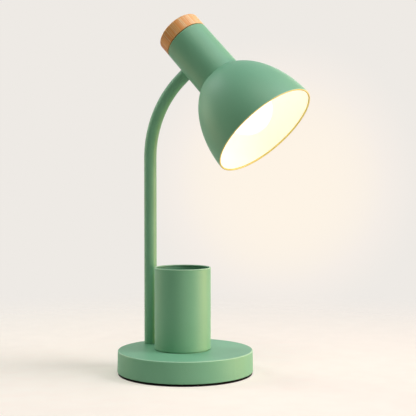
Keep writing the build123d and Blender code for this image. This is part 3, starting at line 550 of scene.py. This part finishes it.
def seen_directly(tree):
    """1 where the camera sees a surface itself, or in gloss or through glass, and else 0."""
    paths = add(tree, "ShaderNodeLightPath").outputs
    gloss_or_glass = add(
        tree,
        "ShaderNodeMath",
        {0: paths["Is Glossy Ray"], 1: paths["Is Transmission Ray"]},
        operation="MAXIMUM",
    )
    seen = add(
        tree,
        "ShaderNodeMath",
        {0: paths["Is Camera Ray"], 1: gloss_or_glass.outputs[0]},
        operation="MAXIMUM",
    )
    return seen.outputs[0]


# The painted glow of the lamp's light on the backdrop, under the shade's mouth: its middle in the
# image and its reach
GLOW_PIXEL = (280, 180)
GLOW_REACH = math.radians(8.5)
EVEN_LIGHT = "f2f4f4"
EVEN_LIGHT_STRENGTH = 0.04


def glow_direction():
    """The way from the camera to the middle of the glow."""
    ahead = -TO_CAMERA * math.cos(CAMERA_PITCH) - UP * math.sin(CAMERA_PITCH)
    above = UP * math.cos(CAMERA_PITCH) - TO_CAMERA * math.sin(CAMERA_PITCH)
    right = (GLOW_PIXEL[0] - IMAGE_WIDTH / 2) / FOCAL_PIXELS
    up = (IMAGE_WIDTH / 2 - GLOW_PIXEL[1]) / FOCAL_PIXELS
    return (ahead + TO_RIGHT * right + above * up).normalized()


def set_world():
    """Even light from all round. What the camera and the gloss see of it is the pale backdrop, with
    a painted warm glow of the lamp's light under the shade's mouth.
    """
    world = bpy.data.worlds.new("Studio")
    bpy.context.scene.world = world
    world.use_nodes = True
    tree = world.node_tree
    tree.nodes.clear()
    way = add(tree, "ShaderNodeTexCoord").outputs["Generated"]
    near_glow = add(
        tree, "ShaderNodeVectorMath", {0: way, 1: glow_direction()}, operation="DOT_PRODUCT"
    )
    glow = add(
        tree,
        "ShaderNodeMapRange",
        {"Value": near_glow.outputs["Value"], "From Min": math.cos(GLOW_REACH), "From Max": 1.0},
        interpolation_type="SMOOTHSTEP",
    )
    # The backdrop's colour, warming towards the painted glow of the lamp's light
    paper = add(
        tree,
        "ShaderNodeValToRGB",
        {"Fac": glow.outputs[0]},
        stops=[(0.0, "eeeae5"), (0.5, "f5eee7"), (1.0, "fef4e6")],
    )
    backdrop = add(
        tree, "ShaderNodeBackground", {"Color": paper.outputs["Color"], "Strength": 1.0}
    )
    light = add(
        tree,
        "ShaderNodeBackground",
        {"Color": linear(EVEN_LIGHT), "Strength": EVEN_LIGHT_STRENGTH},
    )
    mix = add(
        tree,
        "ShaderNodeMixShader",
        {0: seen_directly(tree), 1: light.outputs[0], 2: backdrop.outputs[0]},
    )
    add(tree, "ShaderNodeOutputWorld", {"Surface": mix.outputs[0]})


# The floor's paper: the width of its pattern, its reach and where it fades, in metres, and the
# light that it seems to give off to the camera alone
PAPER_CLOUD = 30 * MM
FLOOR_REACH = 3.0
FADE_START = 0.16
FADE_END = 0.85
FLOOR_LIFT = 0.455


def add_floor():
    """A pale floor that fades into the backdrop all round, so that no horizon shows."""
    material, tree, where = new_material("FloorPaperPale")
    cloud = add(
        tree, "ShaderNodeTexNoise", {"Vector": where, "Scale": 1 / PAPER_CLOUD, "Detail": 4.0}
    )
    colour = add(
        tree,
        "ShaderNodeValToRGB",
        {"Fac": cloud.outputs["Fac"]},
        stops=[(DARK_AT, "dcd6cf"), (LIGHT_AT, "dfd9d2")],
    )
    matte = add(tree, "ShaderNodeBsdfDiffuse", {"Color": colour.outputs["Color"]})
    lift = add(
        tree, "ShaderNodeMath", {0: seen_directly(tree), 1: FLOOR_LIFT}, operation="MULTIPLY"
    )
    pale = add(
        tree, "ShaderNodeEmission", {"Color": colour.outputs["Color"], "Strength": lift.outputs[0]}
    )
    paper = add(tree, "ShaderNodeAddShader", {0: matte.outputs[0], 1: pale.outputs[0]})
    away = add(tree, "ShaderNodeVectorMath", {0: where}, operation="LENGTH")
    fade = add(
        tree,
        "ShaderNodeMapRange",
        {"Value": away.outputs["Value"], "From Min": FADE_START, "From Max": FADE_END},
        interpolation_type="SMOOTHSTEP",
    )
    clear = add(tree, "ShaderNodeBsdfTransparent")
    mix = add(
        tree,
        "ShaderNodeMixShader",
        {0: fade.outputs[0], 1: paper.outputs[0], 2: clear.outputs[0]},
    )
    add(tree, "ShaderNodeOutputMaterial", {"Surface": mix.outputs[0]})
    low, high = -FLOOR_REACH, FLOOR_REACH
    corners = [(low, low, 0), (high, low, 0), (high, high, 0), (low, high, 0)]
    mesh = bpy.data.meshes.new("Floor")
    mesh.from_pydata(corners, [], [(0, 1, 2, 3)])
    mesh.materials.append(material)
    floor = bpy.data.objects.new("Floor", mesh)
    bpy.context.scene.collection.objects.link(floor)


def add_camera():
    """The camera at the photograph's place, with its angle of view."""
    data = bpy.data.cameras.new("PhotoCamera")
    data.sensor_width = SENSOR_MM
    data.lens = FOCAL_PIXELS * SENSOR_MM / IMAGE_WIDTH
    camera = bpy.data.objects.new("PhotoCamera", data)
    bpy.context.scene.collection.objects.link(camera)
    camera.location = CAMERA_PLACE
    camera.rotation_euler = (math.pi / 2 - CAMERA_PITCH, 0, CAMERA_AZIMUTH)
    bpy.context.scene.camera = camera


set_world()
add_floor()
add_camera()

bpy.context.scene.view_settings.view_transform = "Standard"
